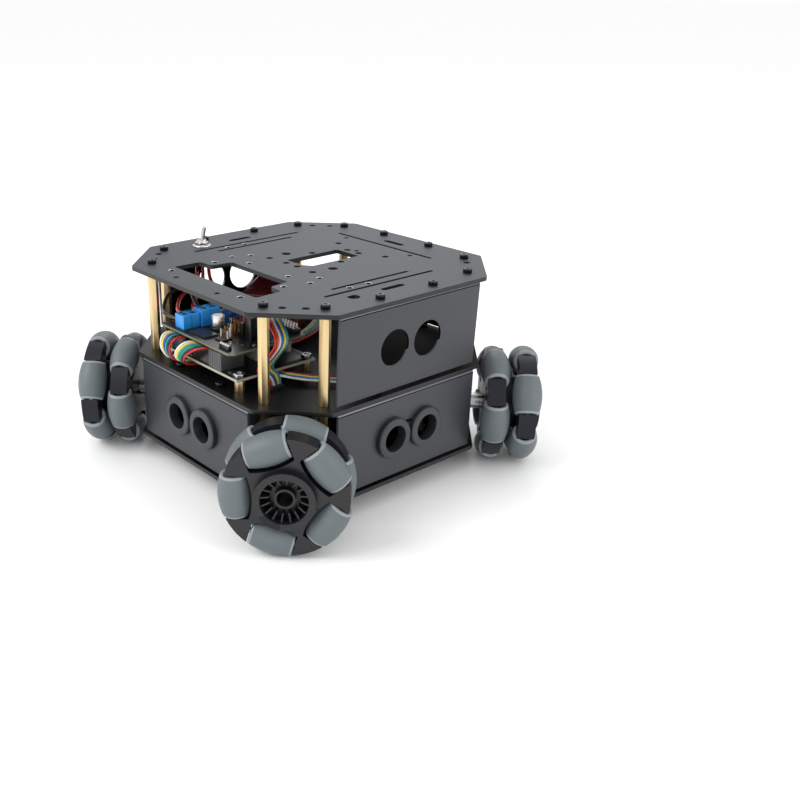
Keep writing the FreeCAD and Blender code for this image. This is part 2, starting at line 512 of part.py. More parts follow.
# ---- hook-up wires: straight runs joined by tangent arcs ----
def wire(points, r):
    pts = [V(*p) for p in points]
    edges, last = [], pts[0]
    for a, b, c in zip(pts[:-2], pts[1:-1], pts[2:]):
        u, w = (a - b), (c - b)
        short = min(u.Length, w.Length)
        u.normalize()
        w.normalize()
        half = (math.pi - u.getAngle(w)) / 2.0
        radius = 0.45 * short / math.tan(half)
        cut = radius * math.tan(half)
        p, q = b + u * cut, b + w * cut
        bis = (u + w).normalize()
        centre = b + bis * (radius / math.cos(half))
        edges.append(Part.LineSegment(last, p).toShape())
        edges.append(Part.Arc(p, centre - bis * radius, q).toShape())
        last = q
    edges.append(Part.LineSegment(last, pts[-1]).toShape())
    profile = Part.Wire(Part.Circle(pts[0], pts[1] - pts[0], r).toShape())
    return Part.Wire(edges).makePipeShell([profile], True, False)


def bus(route):
    """Six wires side by side: each route point is a position and the step from wire to wire."""
    lanes = []
    for k in range(6):
        n = k - 2.5
        lane = [(x + n * dx, y + n * dy, z + n * dz) for (x, y, z), (dx, dy, dz) in route]
        lanes.append(wire(lane, WIRE_R))
    return lanes


BOOT_TOP = Z_MID_TOP + 2.0
BOOT_FOOT = Z_MID - 4.0
FLOOR = BOOT_TOP + 2.6             # height of a bundle that runs between board and middle plate
PLUG_Z = zb + 9.8
CREST = PLUG_Z + 2.3
PINS = zs + 8.5
LAID = Z_MID_TOP + 1.1
P = PITCH_W
wires = []
for wheel, heading, _ in WHEELS:
    c, s = math.cos(math.radians(heading)), math.sin(math.radians(heading))
    hx, hy = CABLES[wheel]
    mx, my = (MOTOR_BACK - CAP_LEN / 2) * c, (MOTOR_BACK - CAP_LEN / 2) * s
    z_cross = Z_MID - 11.0
    wires.append(boot(hx, hy, 0.0, BOOT_FOOT, BOOT_TOP))
    wires.append(wire([(mx, my, AXLE_UP + CAP_R - 0.4), (mx, my, z_cross),
                       (hx, hy, z_cross), (hx, hy, BOOT_FOOT)], SLEEVE_R))

# left motor: under the board, out past its edge and up into the near plug
wires += bus([((-42, -60, BOOT_TOP), (P, 0, 0)),
              ((-42, -60, FLOOR), (P, 0, 0)),
              ((-42, -66, FLOOR), (P, 0.45 * P, 0)),
              ((-25, -77, FLOOR), (P, 0.45 * P, 0)),
              ((-22, -86, FLOOR - 1.0), (1.55, 0, 0)),
              ((-24, -91, 80.5), (1.8, 0, 0)),
              ((-22.9, -86.5, CREST), (2.54, 0, 0)),
              ((-22.9, -80.8, PLUG_Z), (2.54, 0, 0))])
# rear motor: past the battery, under the board and up into the second plug
wires += bus([((-42, 60, BOOT_TOP), (P, 0, 0)),
              ((-42, 60, FLOOR), (P, 0, 0)),
              ((-37, 50, FLOOR), (P, 0.5 * P, 0)),
              ((-2, -2, FLOOR - 1.0), (P, 0.4 * P, 0)),
              ((-11, -45, FLOOR - 1.0), (P, 0, 0)),
              ((-11.5, -85, FLOOR - 1.0), (1.5, 0, 0)),
              ((-8, -91.5, 80.5), (1.8, 0, 0)),
              ((0.4, -86.5, CREST), (2.8, 0, 0)),
              ((0.4, -80.8, PLUG_Z), (2.8, 0, 0))])
# front motor: up beside the corner posts, over and down to the pins of the shield
wires += bus([((42, -60, BOOT_TOP), (0, P, 0)),
              ((42, -60.5, 74.5), (0, 1.25 * P, 0)),
              ((38.5, -66, 80), (0, 1.45 * P, 0)),
              ((50, -67, 91), (0, P, 0)),
              ((56.5, -65, 101), (0.2, P, 0)),
              ((45, -63, 110), (0.2, P, 0)),
              ((30, -54, 109), (0, 1.8, 0)),
              ((11.25, -52, 108), (0, 2.4, 0)),
              ((11.25, -52, PINS), (0, 2.4, 0))])
# right motor: a flat ribbon from under the board, laid on the middle plate along the side panel
wires += bus([((24, -50, 72.2), (0, P, 0)),
              ((38, -50.5, 72.2), (-0.4 * P, 1.0 * P, 0)),
              ((61, -27, 70.6), (-0.85 * P, 0.6 * P, 0)),
              ((70, -12, LAID), (-P, 0.3 * P, 0)),
              ((70, 10, LAID), (-P, 0, 0)),
              ((70, 22, FLOOR + 1.4), (-P, 0, 0)),
              ((70, 22, BOOT_TOP), (-P, 0, 0))])

LUG = Z_TOP_UNDER - TOGGLE_BODY[2] - LUG_LEN + 0.5     # leads end on the three lugs of the switch
ENTRY = zs + 3.5                                       # and in the mouths of the screw terminals
power = [[(-48.8, -11.6, 88.0), (-55.0, -16.3, 89.0), (-65.0, -20.5, 93.0),
          (tx, ty + LUG_PITCH, 98.0), (tx, ty + LUG_PITCH, LUG)],
         [(tx, ty - LUG_PITCH, LUG), (tx, ty - LUG_PITCH - 0.2, 97.0), (-64.0, -52.0, 95.0),
          (-52.0, -62.0, 94.0), (-40.0, -70.0, 94.0), (-28.5, -70.5, ENTRY)],
         [(-45.2, -16.4, 88.0), (-51.6, -21.2, 88.0), (-62.0, -40.0, 100.0), (-62.0, -62.0, 101.0),
          (-56.5, -70.5, 91.5), (-44.0, -75.6, 92.0), (-28.5, -75.6, ENTRY)],
         [(-27.0, -63.5, ENTRY), (-40.0, -60.0, 95.0), (-56.0, -46.0, 94.0), (-66.0, -34.0, 94.0),
          (tx, ty, 98.0), (tx, ty, LUG)],
         [(-41.6, -21.2, 90.0), (-47.5, -26.0, 91.0), (-57.0, -36.0, 104.0), (-55.0, -50.0, 106.0),
          (-42.0, -57.5, 97.0), (-27.0, -58.0, ENTRY)]]
save("hookup_wires", group(wires + [wire(route, POWER_R) for route in power]))
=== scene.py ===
import json
import math

import bmesh
import bpy
from mathutils import Euler, Matrix, Vector

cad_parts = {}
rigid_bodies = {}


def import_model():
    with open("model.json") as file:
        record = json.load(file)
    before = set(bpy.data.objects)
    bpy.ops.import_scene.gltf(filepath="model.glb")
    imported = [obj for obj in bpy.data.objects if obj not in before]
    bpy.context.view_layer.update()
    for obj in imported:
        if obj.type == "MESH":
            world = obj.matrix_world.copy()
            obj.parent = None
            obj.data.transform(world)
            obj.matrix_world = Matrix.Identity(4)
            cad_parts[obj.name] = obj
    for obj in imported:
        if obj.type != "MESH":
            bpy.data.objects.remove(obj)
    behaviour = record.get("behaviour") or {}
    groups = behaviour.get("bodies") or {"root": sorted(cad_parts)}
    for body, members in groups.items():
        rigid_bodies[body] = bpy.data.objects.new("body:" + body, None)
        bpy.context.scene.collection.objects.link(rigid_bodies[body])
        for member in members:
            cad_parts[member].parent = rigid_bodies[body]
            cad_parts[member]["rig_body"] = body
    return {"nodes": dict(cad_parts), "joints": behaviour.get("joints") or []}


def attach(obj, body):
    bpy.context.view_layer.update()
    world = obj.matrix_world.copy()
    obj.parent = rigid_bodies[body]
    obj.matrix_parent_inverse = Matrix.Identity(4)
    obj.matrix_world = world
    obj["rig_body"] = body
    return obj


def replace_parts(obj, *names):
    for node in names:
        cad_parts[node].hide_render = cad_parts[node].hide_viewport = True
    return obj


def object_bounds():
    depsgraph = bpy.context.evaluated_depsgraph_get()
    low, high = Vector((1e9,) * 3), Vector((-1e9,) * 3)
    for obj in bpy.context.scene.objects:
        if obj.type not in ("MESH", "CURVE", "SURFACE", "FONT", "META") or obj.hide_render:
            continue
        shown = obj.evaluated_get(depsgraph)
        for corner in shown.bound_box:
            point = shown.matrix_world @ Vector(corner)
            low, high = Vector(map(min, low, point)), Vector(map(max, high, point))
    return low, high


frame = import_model()
cad_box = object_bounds()
NODES = frame["nodes"]
JOINTS = {j["name"]: j for j in frame["joints"]}
WHEEL_NAMES = ("front", "right", "rear", "left")
MM = 0.001


# ---- materials: every finish is procedural, in object coordinates (metres) ----
ROUGH_SPREAD = 0.06
SPECKLE_SPAN = 0.12


def link(tree, a, out, b, into):
    tree.links.new(a.outputs[out], b.inputs[into])


def finish(name, colour, rough, metallic=0.0, spread=0.10, patch=60.0, grain=2500.0, bump=0.0,
           depth=0.05, stretch=(1, 1, 1), coat=0.0, painted_sparkle=None, ior=1.5, matt=None):
    """Principled finish with uneven colour and roughness, fine bump and bright dots of painted
    sparkle;
    matt is (from y, to y, roughness) in millimetres for a surface that grows dull towards +Y."""
    mat = bpy.data.materials.new(name)
    mat.use_nodes = True
    tree = mat.node_tree
    shader = tree.nodes["Principled BSDF"]
    shader.inputs["Metallic"].default_value = metallic
    shader.inputs["Coat Weight"].default_value = coat
    shader.inputs["IOR"].default_value = ior
    where = tree.nodes.new("ShaderNodeTexCoord")
    scale = tree.nodes.new("ShaderNodeMapping")
    scale.inputs["Scale"].default_value = stretch
    link(tree, where, "Object", scale, "Vector")

    broad = tree.nodes.new("ShaderNodeTexNoise")
    broad.inputs["Scale"].default_value = patch
    broad.inputs["Detail"].default_value = 4.0
    link(tree, scale, "Vector", broad, "Vector")
    tint = tree.nodes.new("ShaderNodeMix")
    tint.data_type = "RGBA"
    tint.inputs["A"].default_value = [c * (1 - spread) for c in colour] + [1]
    tint.inputs["B"].default_value = [min(c * (1 + spread), 1.0) for c in colour] + [1]
    link(tree, broad, "Fac", tint, "Factor")
    last = tint

    fine = tree.nodes.new("ShaderNodeTexNoise")
    fine.inputs["Scale"].default_value = grain
    fine.inputs["Detail"].default_value = 2.0
    link(tree, scale, "Vector", fine, "Vector")
    # painted sparkle: bright dots in the base colour stand in for glints of the grain
    if painted_sparkle:
        level, bright = painted_sparkle
        pick = tree.nodes.new("ShaderNodeMapRange")
        pick.inputs["From Min"].default_value = level
        pick.inputs["From Max"].default_value = level + SPECKLE_SPAN
        link(tree, fine, "Fac", pick, "Value")
        dots = tree.nodes.new("ShaderNodeMix")
        dots.data_type = "RGBA"
        dots.inputs["B"].default_value = list(bright) + [1]
        link(tree, last, "Result", dots, "A")
        link(tree, pick, "Result", dots, "Factor")
        last = dots
    link(tree, last, "Result", shader, "Base Color")

    dull = tree.nodes.new("ShaderNodeMapRange")
    dull.inputs["To Min"].default_value = max(rough - ROUGH_SPREAD, 0.03)
    dull.inputs["To Max"].default_value = min(rough + ROUGH_SPREAD, 1.0)
    link(tree, fine, "Fac", dull, "Value")
    if matt:
        start, end, most = matt
        axes = tree.nodes.new("ShaderNodeSeparateXYZ")
        link(tree, where, "Object", axes, "Vector")
        grow = tree.nodes.new("ShaderNodeMapRange")
        grow.inputs["From Min"].default_value = start * MM
        grow.inputs["From Max"].default_value = end * MM
        grow.inputs["To Max"].default_value = most
        link(tree, axes, "Y", grow, "Value")
        most_dull = tree.nodes.new("ShaderNodeMath")
        most_dull.operation = "MAXIMUM"
        link(tree, dull, "Result", most_dull, 0)
        link(tree, grow, "Result", most_dull, 1)
        link(tree, most_dull, "Value", shader, "Roughness")
    else:
        link(tree, dull, "Result", shader, "Roughness")
    if bump:
        relief = tree.nodes.new("ShaderNodeBump")
        relief.inputs["Strength"].default_value = bump
        relief.inputs["Distance"].default_value = depth * MM
        link(tree, fine, "Fac", relief, "Height")
        link(tree, relief, "Normal", shader, "Normal")
    return mat


# the deck's bright dots are a painted sparkle
DECK = finish("deck_anodised", (0.024, 0.030, 0.039), 0.50, ior=1.37, spread=0.06, patch=25,
              grain=2200, bump=0.40, depth=0.06, painted_sparkle=(0.64, (0.070, 0.072, 0.076)))
DECK_EDGE = finish("deck_edge", (0.010, 0.010, 0.011), 0.38, metallic=0.2, grain=1500, bump=0.1)
# painted shade: the middle and bottom plates are the deck's anodised plate, painted far darker
# because the bay shades them
INNER_PAINTED_SHADE = finish("inner_plate_painted_shade", (0.004, 0.004, 0.004), 0.36, spread=0.1, ior=1.26, grain=1800,
               bump=0.12, matt=(-30, 0, 0.75))
SHADED = finish("panel_inside", (0.004, 0.004, 0.005), 0.55, spread=0.1, ior=1.15, grain=1800,
                bump=0.1)
PANEL = finish("side_panel", (0.030, 0.033, 0.039), 0.42, spread=0.05, patch=18, grain=1800,
               bump=0.18, depth=0.05)
# painted highlight: light grey on the upward faces of the panels' bends and flanges
PANEL_BEND_HIGHLIGHT = finish("panel_bend_highlight", (0.16, 0.17, 0.18), 0.35, metallic=0.3, grain=1800, bump=0.1)
BARE = finish("bare_chamfer", (0.90, 0.90, 0.91), 0.16, metallic=1.0, spread=0.03)
GROMMET = finish("grommet", (0.022, 0.024, 0.028), 0.34, spread=0.08, grain=1600, bump=0.12)
BRASS = finish("brass", (0.74, 0.57, 0.31), 0.36, metallic=1.0, spread=0.10, patch=90, grain=900,
               bump=0.08, depth=0.03, stretch=(4, 4, 0.12))
# a darker brown-black copy of the brass, given to the lower-tier posts
LOWER_POST_DARKER = finish("lower_post_darker", (0.16, 0.10, 0.035), 0.38, metallic=0.8, spread=0.3, patch=90,
                    grain=900, bump=0.14, depth=0.03, stretch=(4, 4, 0.12))
BLACK_SCREW = finish("black_screw", (0.006, 0.006, 0.007), 0.16, metallic=0.3, spread=0.2,
                     grain=1200, bump=0.05)
STEEL = finish("steel", (0.50, 0.50, 0.51), 0.26, metallic=1.0, spread=0.06, grain=1500, bump=0.05)
CHROME = finish("chrome", (0.62, 0.61, 0.60), 0.14, metallic=1.0, spread=0.04)
GEARBOX = finish("gearbox", (0.30, 0.30, 0.29), 0.34, metallic=1.0, spread=0.08, grain=1200,
                 bump=0.1)
BRACKET = finish("bracket", (0.012, 0.012, 0.014), 0.40, metallic=0.3, spread=0.1, bump=0.15)
WRAP = finish("battery_wrap", (0.13, 0.010, 0.016), 0.24, spread=0.25, patch=120, grain=600,
              bump=0.15, depth=0.2)
MASK = finish("board_mask", (0.006, 0.007, 0.008), 0.30, spread=0.25, patch=300, grain=1800,
              bump=0.1)
MASK_EDGE = finish("board_core", (0.15, 0.15, 0.09), 0.55, spread=0.15)
BOARD_EDGE = finish("board_core_pale", (0.36, 0.35, 0.29), 0.50, spread=0.20, patch=300)
HUB = finish("hub_plastic", (0.008, 0.009, 0.013), 0.40, ior=1.34, spread=0.10, patch=50,
             grain=1500, bump=0.12, depth=0.04)
# painted shade in the hub recess, darker than the hub; the same colour is the real dark core
# plastic of the roller ends
HUB_RECESS_SHADE_AND_CORE = finish("hub_recess_shade_and_roller_core", (0.006, 0.006, 0.008), 0.38, spread=0.15, grain=1500, bump=0.12)
RUBBER = finish("roller_rubber", (0.108, 0.130, 0.140), 0.50, spread=0.06, patch=70, grain=1600,
                bump=0.22, depth=0.05)
# painted highlight: the roller lips and the barrel next to them are painted lighter than the
# rubber
ROLLER_LIP_HIGHLIGHT = finish("roller_lip_highlight", (0.24, 0.265, 0.28), 0.40, spread=0.06, grain=1600, bump=0.1)
SLEEVE = finish("cable_sleeve", (0.010, 0.010, 0.011), 0.45, spread=0.2, grain=900, bump=0.3,
                depth=0.1)
# black moulded plastic; the same colour is painted shade in the wells and slots of the terminals
BLACK_PLASTIC_AND_HOLE_SHADE = finish("black_plastic_and_hole_shade", (0.008, 0.008, 0.009), 0.30, spread=0.15, grain=1200,
                 bump=0.08)
SHELL = finish("socket_shell", (0.085, 0.087, 0.092), 0.38, metallic=0.4, spread=0.15, patch=300,
               grain=900, bump=0.2, stretch=(6, 6, 0.5))
TERMINAL = finish("terminal_blue", (0.025, 0.27, 0.72), 0.34, spread=0.06, grain=1500, bump=0.06)
NAVY = finish("connector_navy", (0.008, 0.045, 0.17), 0.30, spread=0.10)
SILVER = finish("can_silver", (0.74, 0.75, 0.76), 0.28, metallic=1.0, spread=0.06, grain=1500,
                bump=0.05)
GOLD = finish("pin_gold", (0.85, 0.50, 0.24), 0.25, metallic=1.0, spread=0.10)
TINNED = finish("pin_tinned", (0.93, 0.93, 0.93), 0.22, metallic=1.0, spread=0.03)
# painted glint: diffuse white on pin tips and on the capacitor top
WHITE_GLINT = finish("white_glint", (0.72, 0.72, 0.70), 0.45, spread=0.04)


def cover(name, colour):
    return finish(name, colour, 0.30, spread=0.06, patch=200, grain=900, bump=0.06, coat=0.2)


WHITE = cover("wire_white", (0.78, 0.78, 0.74))
YELLOW = cover("wire_yellow", (0.86, 0.64, 0.06))
GREEN = cover("wire_green", (0.01, 0.27, 0.13))
BLUE = cover("wire_blue", (0.02, 0.09, 0.45))
TEAL = cover("wire_teal", (0.02, 0.28, 0.34))
BLACK = cover("wire_black", (0.010, 0.010, 0.012))
RED = cover("wire_red", (0.52, 0.012, 0.016))
ORANGE = cover("wire_orange", (0.60, 0.06, 0.015))


# ---- mesh helpers ----
def show(name, mesh, body, *mats):
    piece = bpy.data.objects.new(name, mesh)
    bpy.context.scene.collection.objects.link(piece)
    for m in mats:
        mesh.materials.append(m)
    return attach(piece, body)


def to_mesh(bm, name):
    mesh = bpy.data.meshes.new(name)
    bm.to_mesh(mesh)
    bm.free()
    return mesh


def welded(node):
    """The node's own surface as one bmesh with flat faces joined."""
    bm = bmesh.new()
    bm.from_mesh(NODES[node].data)
    bmesh.ops.remove_doubles(bm, verts=bm.verts, dist=0.002 * MM)
    bmesh.ops.dissolve_limit(bm, angle_limit=math.radians(0.4), verts=bm.verts, edges=bm.edges)
    return bm


def islands(bm):
    """The separate closed solids of a bmesh, as lists of vertices."""
    left, found = set(bm.verts), []
    while left:
        start = left.pop()
        group, todo = [start], [start]
        while todo:
            for e in todo.pop().link_edges:
                for v in e.verts:
                    if v in left:
                        left.remove(v)
                        group.append(v)
                        todo.append(v)
        found.append(group)
    return found


def only(bm, verts):
    """A new bmesh with these vertices and their faces."""
    new, ids = bmesh.new(), {}
    for v in verts:
        ids[v] = new.verts.new(v.co)
    for f in {f for v in verts for f in v.link_faces}:
        new.faces.new([ids[v] for v in f.verts])
    return new


def box_of(verts):
    co = [v.co for v in verts]
    return Vector(map(min, zip(*co))), Vector(map(max, zip(*co)))


def eased(piece, width, segments=2, angle=32, sheet=False):
    """Small rounded edges, with the flat faces still flat."""
    for p in piece.data.polygons:
        p.use_smooth = not sheet or max(map(abs, p.normal)) < 0.995
    bevel = piece.modifiers.new("edge", "BEVEL")
    bevel.width = width * MM
    bevel.segments = segments
    bevel.limit_method = "ANGLE"
    bevel.angle_limit = math.radians(angle)
    bevel.harden_normals = not sheet
    bevel.use_clamp_overlap = True
    return piece


def refined(name, node, width, slot, *mats, pick=None, segments=2, sheet=False):
    """The node's surface with rounded edges. pick(face) gives the material's number."""
    bm = welded(node)
    if pick:
        for f in bm.faces:
            f.material_index = pick(f)
    piece = show(name, to_mesh(bm, name), NODES[node]["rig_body"], *mats)
    eased(piece, width, segments, sheet=sheet)
    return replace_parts(piece, node)


def sorted_out(name, node, width, slot, choose, *mats):
    """The node's solids, each with the material number choose(low, high) gives.

    None leaves a solid out. The upright faces of number 0, a board, get number 1."""
    bm = welded(node)
    for verts in islands(bm):
        low, high = box_of(verts)
        kind = choose(low / MM, high / MM)
        if kind is None:
            bmesh.ops.delete(bm, geom=verts, context="VERTS")
            continue
        for f in {f for v in verts for f in v.link_faces}:
            f.material_index = kind + 1 if kind == 0 and abs(f.normal.z) < 0.5 else kind
    piece = show(name, to_mesh(bm, name), NODES[node]["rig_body"], *mats)
    eased(piece, width)
    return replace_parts(piece, node)


def along(point, axis):
    """Places local +Z on an axis through a point."""
    turn = Vector((0, 0, 1)).rotation_difference(Vector(axis).normalized())
    return Matrix.Translation(Vector(point)) @ turn.to_matrix().to_4x4()


def lathe(profile, steps, name, marks=None):
    """A closed profile of (radius, height) in mm turned about +Z; marks holds its materials."""
    bm = bmesh.new()
    rings = []
    for k in range(steps):
        a = 2 * math.pi * k / steps
        c, s = math.cos(a), math.sin(a)
        rings.append([bm.verts.new(Vector((r * c, r * s, z)) * MM) for r, z in profile])
    count = len(profile)
    for k in range(steps):
        here, there = rings[k], rings[(k + 1) % steps]
        for i in range(count):
            j = (i + 1) % count
            face = bm.faces.new((here[i], there[i], there[j], here[j]))
            face.smooth = True
            if marks:
                face.material_index = marks[i]
    bmesh.ops.recalc_face_normals(bm, faces=bm.faces)
    return to_mesh(bm, name)


def block(bm, low, high, mat=0):
    """Adds a box to a bmesh, in millimetres."""
    made = bmesh.ops.create_cube(bm, size=1.0)["verts"]
    size = Vector(high) - Vector(low)
    mid = (Vector(high) + Vector(low)) / 2
    for v in made:
        v.co = Vector((v.co.x * size.x, v.co.y * size.y, v.co.z * size.z)) * MM + mid * MM
    for f in {f for v in made for f in v.link_faces}:
        f.material_index = mat
    return made


def drum(bm, at, radius, height, mat=0, steps=24, top=None):
    """Adds an upright cylinder, or a cone when top is given, to a bmesh, in millimetres."""
    made = bmesh.ops.create_cone(bm, cap_ends=True, segments=steps, radius1=radius * MM,
                                 radius2=(radius if top is None else top) * MM,
                                 depth=height * MM)["verts"]
    for v in made:
        v.co += Vector((at[0], at[1], at[2] + height / 2)) * MM
    for f in {f for v in made for f in v.link_faces}:
        f.material_index = mat
    return made


# ---- camera ----
CAMERA_AT, CAMERA_TURN = (429.304, -363.748, 272.278), (67.0895, -0.0545, 50.9482)
LENS, SENSOR, SHIFT = 42.996, 36.0, (0.1376, -0.0068)
camera_data = bpy.data.cameras.new("camera")
camera_data.lens = LENS
camera_data.sensor_width = SENSOR
camera_data.shift_x, camera_data.shift_y = SHIFT
camera_data.clip_start = 0.01
camera = bpy.data.objects.new("camera", camera_data)
bpy.context.scene.collection.objects.link(camera)
camera.location = Vector(CAMERA_AT) * MM
camera.rotation_euler = Euler([math.radians(a) for a in CAMERA_TURN])
bpy.context.scene.camera = camera


# ---- plates ----
def flat_up(f):
    return 0 if abs(f.normal.z) > 0.7 else 1


def panel_face(f):
    """Outer face, upper bend and top flange painted light as a highlight, or inner face of a side
    panel.
    """
    at = f.calc_center_median()
    if max(abs(f.normal.x), abs(f.normal.y)) > 0.9 and f.calc_area() > 60 * MM * MM:
        return 0 if f.normal.x * at.x + f.normal.y * at.y > 0 else 2
    return 1 if f.normal.z > 0.3 else 2


refined("deck_plate", "top_plate", 0.25, "anodised_plate", DECK, DECK_EDGE, pick=flat_up,
        sheet=True)
# the flat faces of the plates inside the bay carry painted shade
refined("middle_deck", "mid_plate", 0.25, "anodised_plate", INNER_PAINTED_SHADE, DECK_EDGE, pick=flat_up,
        sheet=True)
refined("base_deck", "bottom_plate", 0.25, "anodised_plate", INNER_PAINTED_SHADE, DECK_EDGE, pick=flat_up,
        sheet=True)

# bright chamfers at the mouths of the small screw holes of the deck
TOP = 122.2
SMALL_HOLES = [(33.8, -76.5), (33.0, -46.5), (32.4, -20.0), (36.9, -30.6), (18.5, -31.5),
               (57.2, -19.5), (57.7, -5.7)]
RIM_PROFILE = ((1.52, TOP - 0.5), (1.52, TOP - 0.05), (1.90, TOP + 0.03))
RIM_STEPS = 20
rims = bmesh.new()
for hx, hy in SMALL_HOLES:
    for side in (1, -1):
        loops = []
        for r, z in RIM_PROFILE:
            loop = []
            for k in range(RIM_STEPS):
                a = 2 * math.pi * k / RIM_STEPS
                loop.append(rims.verts.new(Vector((side * hx + r * math.cos(a),
                                                   hy + r * math.sin(a), z)) * MM))
            loops.append(loop)
        for inner, outer in zip(loops, loops[1:]):
            for k in range(RIM_STEPS):
                m = (k + 1) % RIM_STEPS
                rims.faces.new((inner[k], inner[m], outer[m], outer[k])).smooth = True
show("hole_rims", to_mesh(rims, "rims"), "chassis", BARE)

# ---- side panels and grommets ----
for name, node in (("upper_skirts", "upper_side_panels"), ("lower_skirts", "lower_side_panels")):
    refined(name, node, 0.25, "slate_panel", PANEL, PANEL_BEND_HIGHLIGHT, SHADED, pick=panel_face,
            sheet=True)
refined("sensor_grommets", "panel_grommets", 0.3, "grommet_rubber", GROMMET, segments=3)

# ---- posts, screws, motors, brackets, switch, battery ----
UPPER_TIER = 60.0
# the upper-tier posts are brass; the lower-tier posts get the darker copy of the brass
sorted_out("hex_posts", "tier_posts", 0.2, "brass_post",
           lambda low, high: 1 if low.z > UPPER_TIER else 2, BRASS, BRASS, LOWER_POST_DARKER)
refined("fasteners", "plate_screws", 0.12, "black_steel", BLACK_SCREW)
refined("motors", "gear_motors", 0.3, "gearbox_steel", GEARBOX)
refined("brackets", "motor_brackets", 0.3, "bracket_steel", BRACKET)
refined("switch_lever", "toggle_lever", 0.05, "lever_chrome", CHROME)
refined("switch_parts", "toggle_switch", 0.12, "switch_case", CHROME)
refined("battery", "battery_pack", 1.2, "battery_wrap", WRAP, segments=3)

# ---- circuit boards ----
BOARD, SHIELD = 76.7, 89.7


def board_kind(low, high):
    """Board, stand-off, nut, data socket or plug and header, told by size and height in mm."""
    size = high - low
    if size.x > 40:
        return 0
    if low.z < 70:
        return 2
    if size.z < 3.5 and size.x < 8:
        return 3
    return 5 if 11.5 < size.x < 12.5 else 4


def shield_kind(low, high):
    """Board, screw terminal, low header, capacitor, connector or header; None for pin headers."""
    size = high - low
    if size.x > 40:
        return 0
    if high.x < -17:
        return 2
    if high.y < -65 and low.y < -79:
        return 3
    if size.x < 2.7 and low.x < 9:
        return None
    if low.x < -10:
        return 5 if size.z > 8.5 else 4
    return 3


sorted_out("main_board", "control_board", 0.2, "board_green", board_kind,
           MASK, BOARD_EDGE, BRASS, STEEL, BLACK_PLASTIC_AND_HOLE_SHADE, SHELL)
sorted_out("motor_shield", "driver_shield", 0.25, "board_blue", shield_kind,
           MASK, MASK_EDGE, TERMINAL, BLACK_PLASTIC_AND_HOLE_SHADE, NAVY, SILVER)

# details of the boards; materials: 0 black, also painted shade in the terminal holes, 1 tinned,
# 2 gold, 3 navy, 4 grey shell, 5 orange, 6 white painted glint
bits = bmesh.new()
for x0, x1, y0, y1, h in ((-28.5, -19.5, -79.0, -67.6, 8.5), (-27.0, -18.0, -67.0, -54.2, 10.0)):
    pitch = (y1 - y0) / 2
    top = SHIELD + h
    for k in range(2):
        yc = y0 + pitch * (k + 0.5)
        # painted shade: the black slot, the black ring round the screw and the black screw slot
        # stand in for the dark holes of the terminal
        block(bits, (x0 + 1.0, yc - 1.9, top - 0.3), (x0 + 2.6, yc + 1.9, top + 0.04), 0)
        drum(bits, (x1 - 3.4, yc, top - 0.3), 1.75, 0.34, 0)
        drum(bits, (x1 - 3.4, yc, top - 0.3), 1.35, 0.38, 1)
        block(bits, (x1 - 4.6, yc - 0.2, top), (x1 - 2.2, yc + 0.2, top + 0.12), 0)
    block(bits, (x1 - 0.5, y0 + pitch - 0.15, SHIELD + 0.3),
          (x1 + 0.04, y0 + pitch + 0.15, top - 0.2), 3)
for row, x in enumerate((-0.25, 3.75, 7.75)):
    block(bits, (x - 1.25, -60.0, SHIELD), (x + 1.25, -44.0, SHIELD + 2.5), 0)
    pin_top = SHIELD + 8.4 - 0.4 * row
    for k in range(7):
        y = -58.9 + 2.3 * k
        for pin_x in (x - 0.65, x + 0.65):
            block(bits, (pin_x - 0.27, y - 0.27, SHIELD + 2.5), (pin_x + 0.27, y + 0.27, pin_top),
                  2 if (k + row) % 3 else 1)
# the white pin tips here and below are painted glints
for row, y in enumerate((-69.5, -66.8, -64.1)):
    for k in range(4):
        x = 4.6 + 2.1 * k + 0.5 * (row % 2)
        block(bits, (x - 0.3, y - 0.3, SHIELD), (x + 0.3, y + 0.3, SHIELD + 5.5 + 1.1 * row),
              2 if (k + row) % 3 else 6)
for k in range(4):
    block(bits, (17.3 + 2.2 * k, -79.3, SHIELD + 2.5), (18.5 + 2.2 * k, -78.2, SHIELD + 3.3), 6)
for k in range(9):
    for y in (-31.8, -29.3):
        block(bits, (3.0 + 2.54 * k, y - 0.4, SHIELD + 2.5),
              (3.9 + 2.54 * k, y + 0.4, SHIELD + 5.2), 6)
block(bits, (-14.0, -78.5, SHIELD), (1.5, -69.5, SHIELD + 1.4), 0)
block(bits, (5.0, -74.0, SHIELD), (12.0, -67.0, SHIELD + 1.1), 0)
for k in range(8):
    block(bits, (-15.2, -77.6 + k, SHIELD), (-14.0, -77.2 + k, SHIELD + 0.5), 1)
    block(bits, (1.5, -77.6 + k, SHIELD), (2.7, -77.2 + k, SHIELD + 0.5), 1)
for x, y, kind in ((14.5, -70.0, 1), (14.5, -67.5, 4), (17.5, -72.0, 1), (23.0, -68.0, 4),
                   (26.0, -62.0, 1), (24.0, -56.0, 5), (26.5, -50.0, 1), (22.5, -45.0, 4),
                   (16.0, -44.0, 1), (-10.0, -42.0, 1), (-20.0, -45.0, 4)):
    block(bits, (x - 0.9, y - 0.5, SHIELD), (x + 0.9, y + 0.5, SHIELD + 0.6), kind)
block(bits, (9.2, -81.54, BOARD + 1.0), (20.8, -81.3, BOARD + 9.6), 4)
for k in range(5):
    block(bits, (10.4 + 2.2 * k, -81.6, BOARD + 1.6), (10.9 + 2.2 * k, -81.4, BOARD + 9.0), 0)
for x in (-33.0, -24.0, -12.0, 26.0, 29.5):
    block(bits, (x - 1.3, -79.6, BOARD), (x + 1.3, -78.0, BOARD + 0.9), 1 if x < 0 else 4)
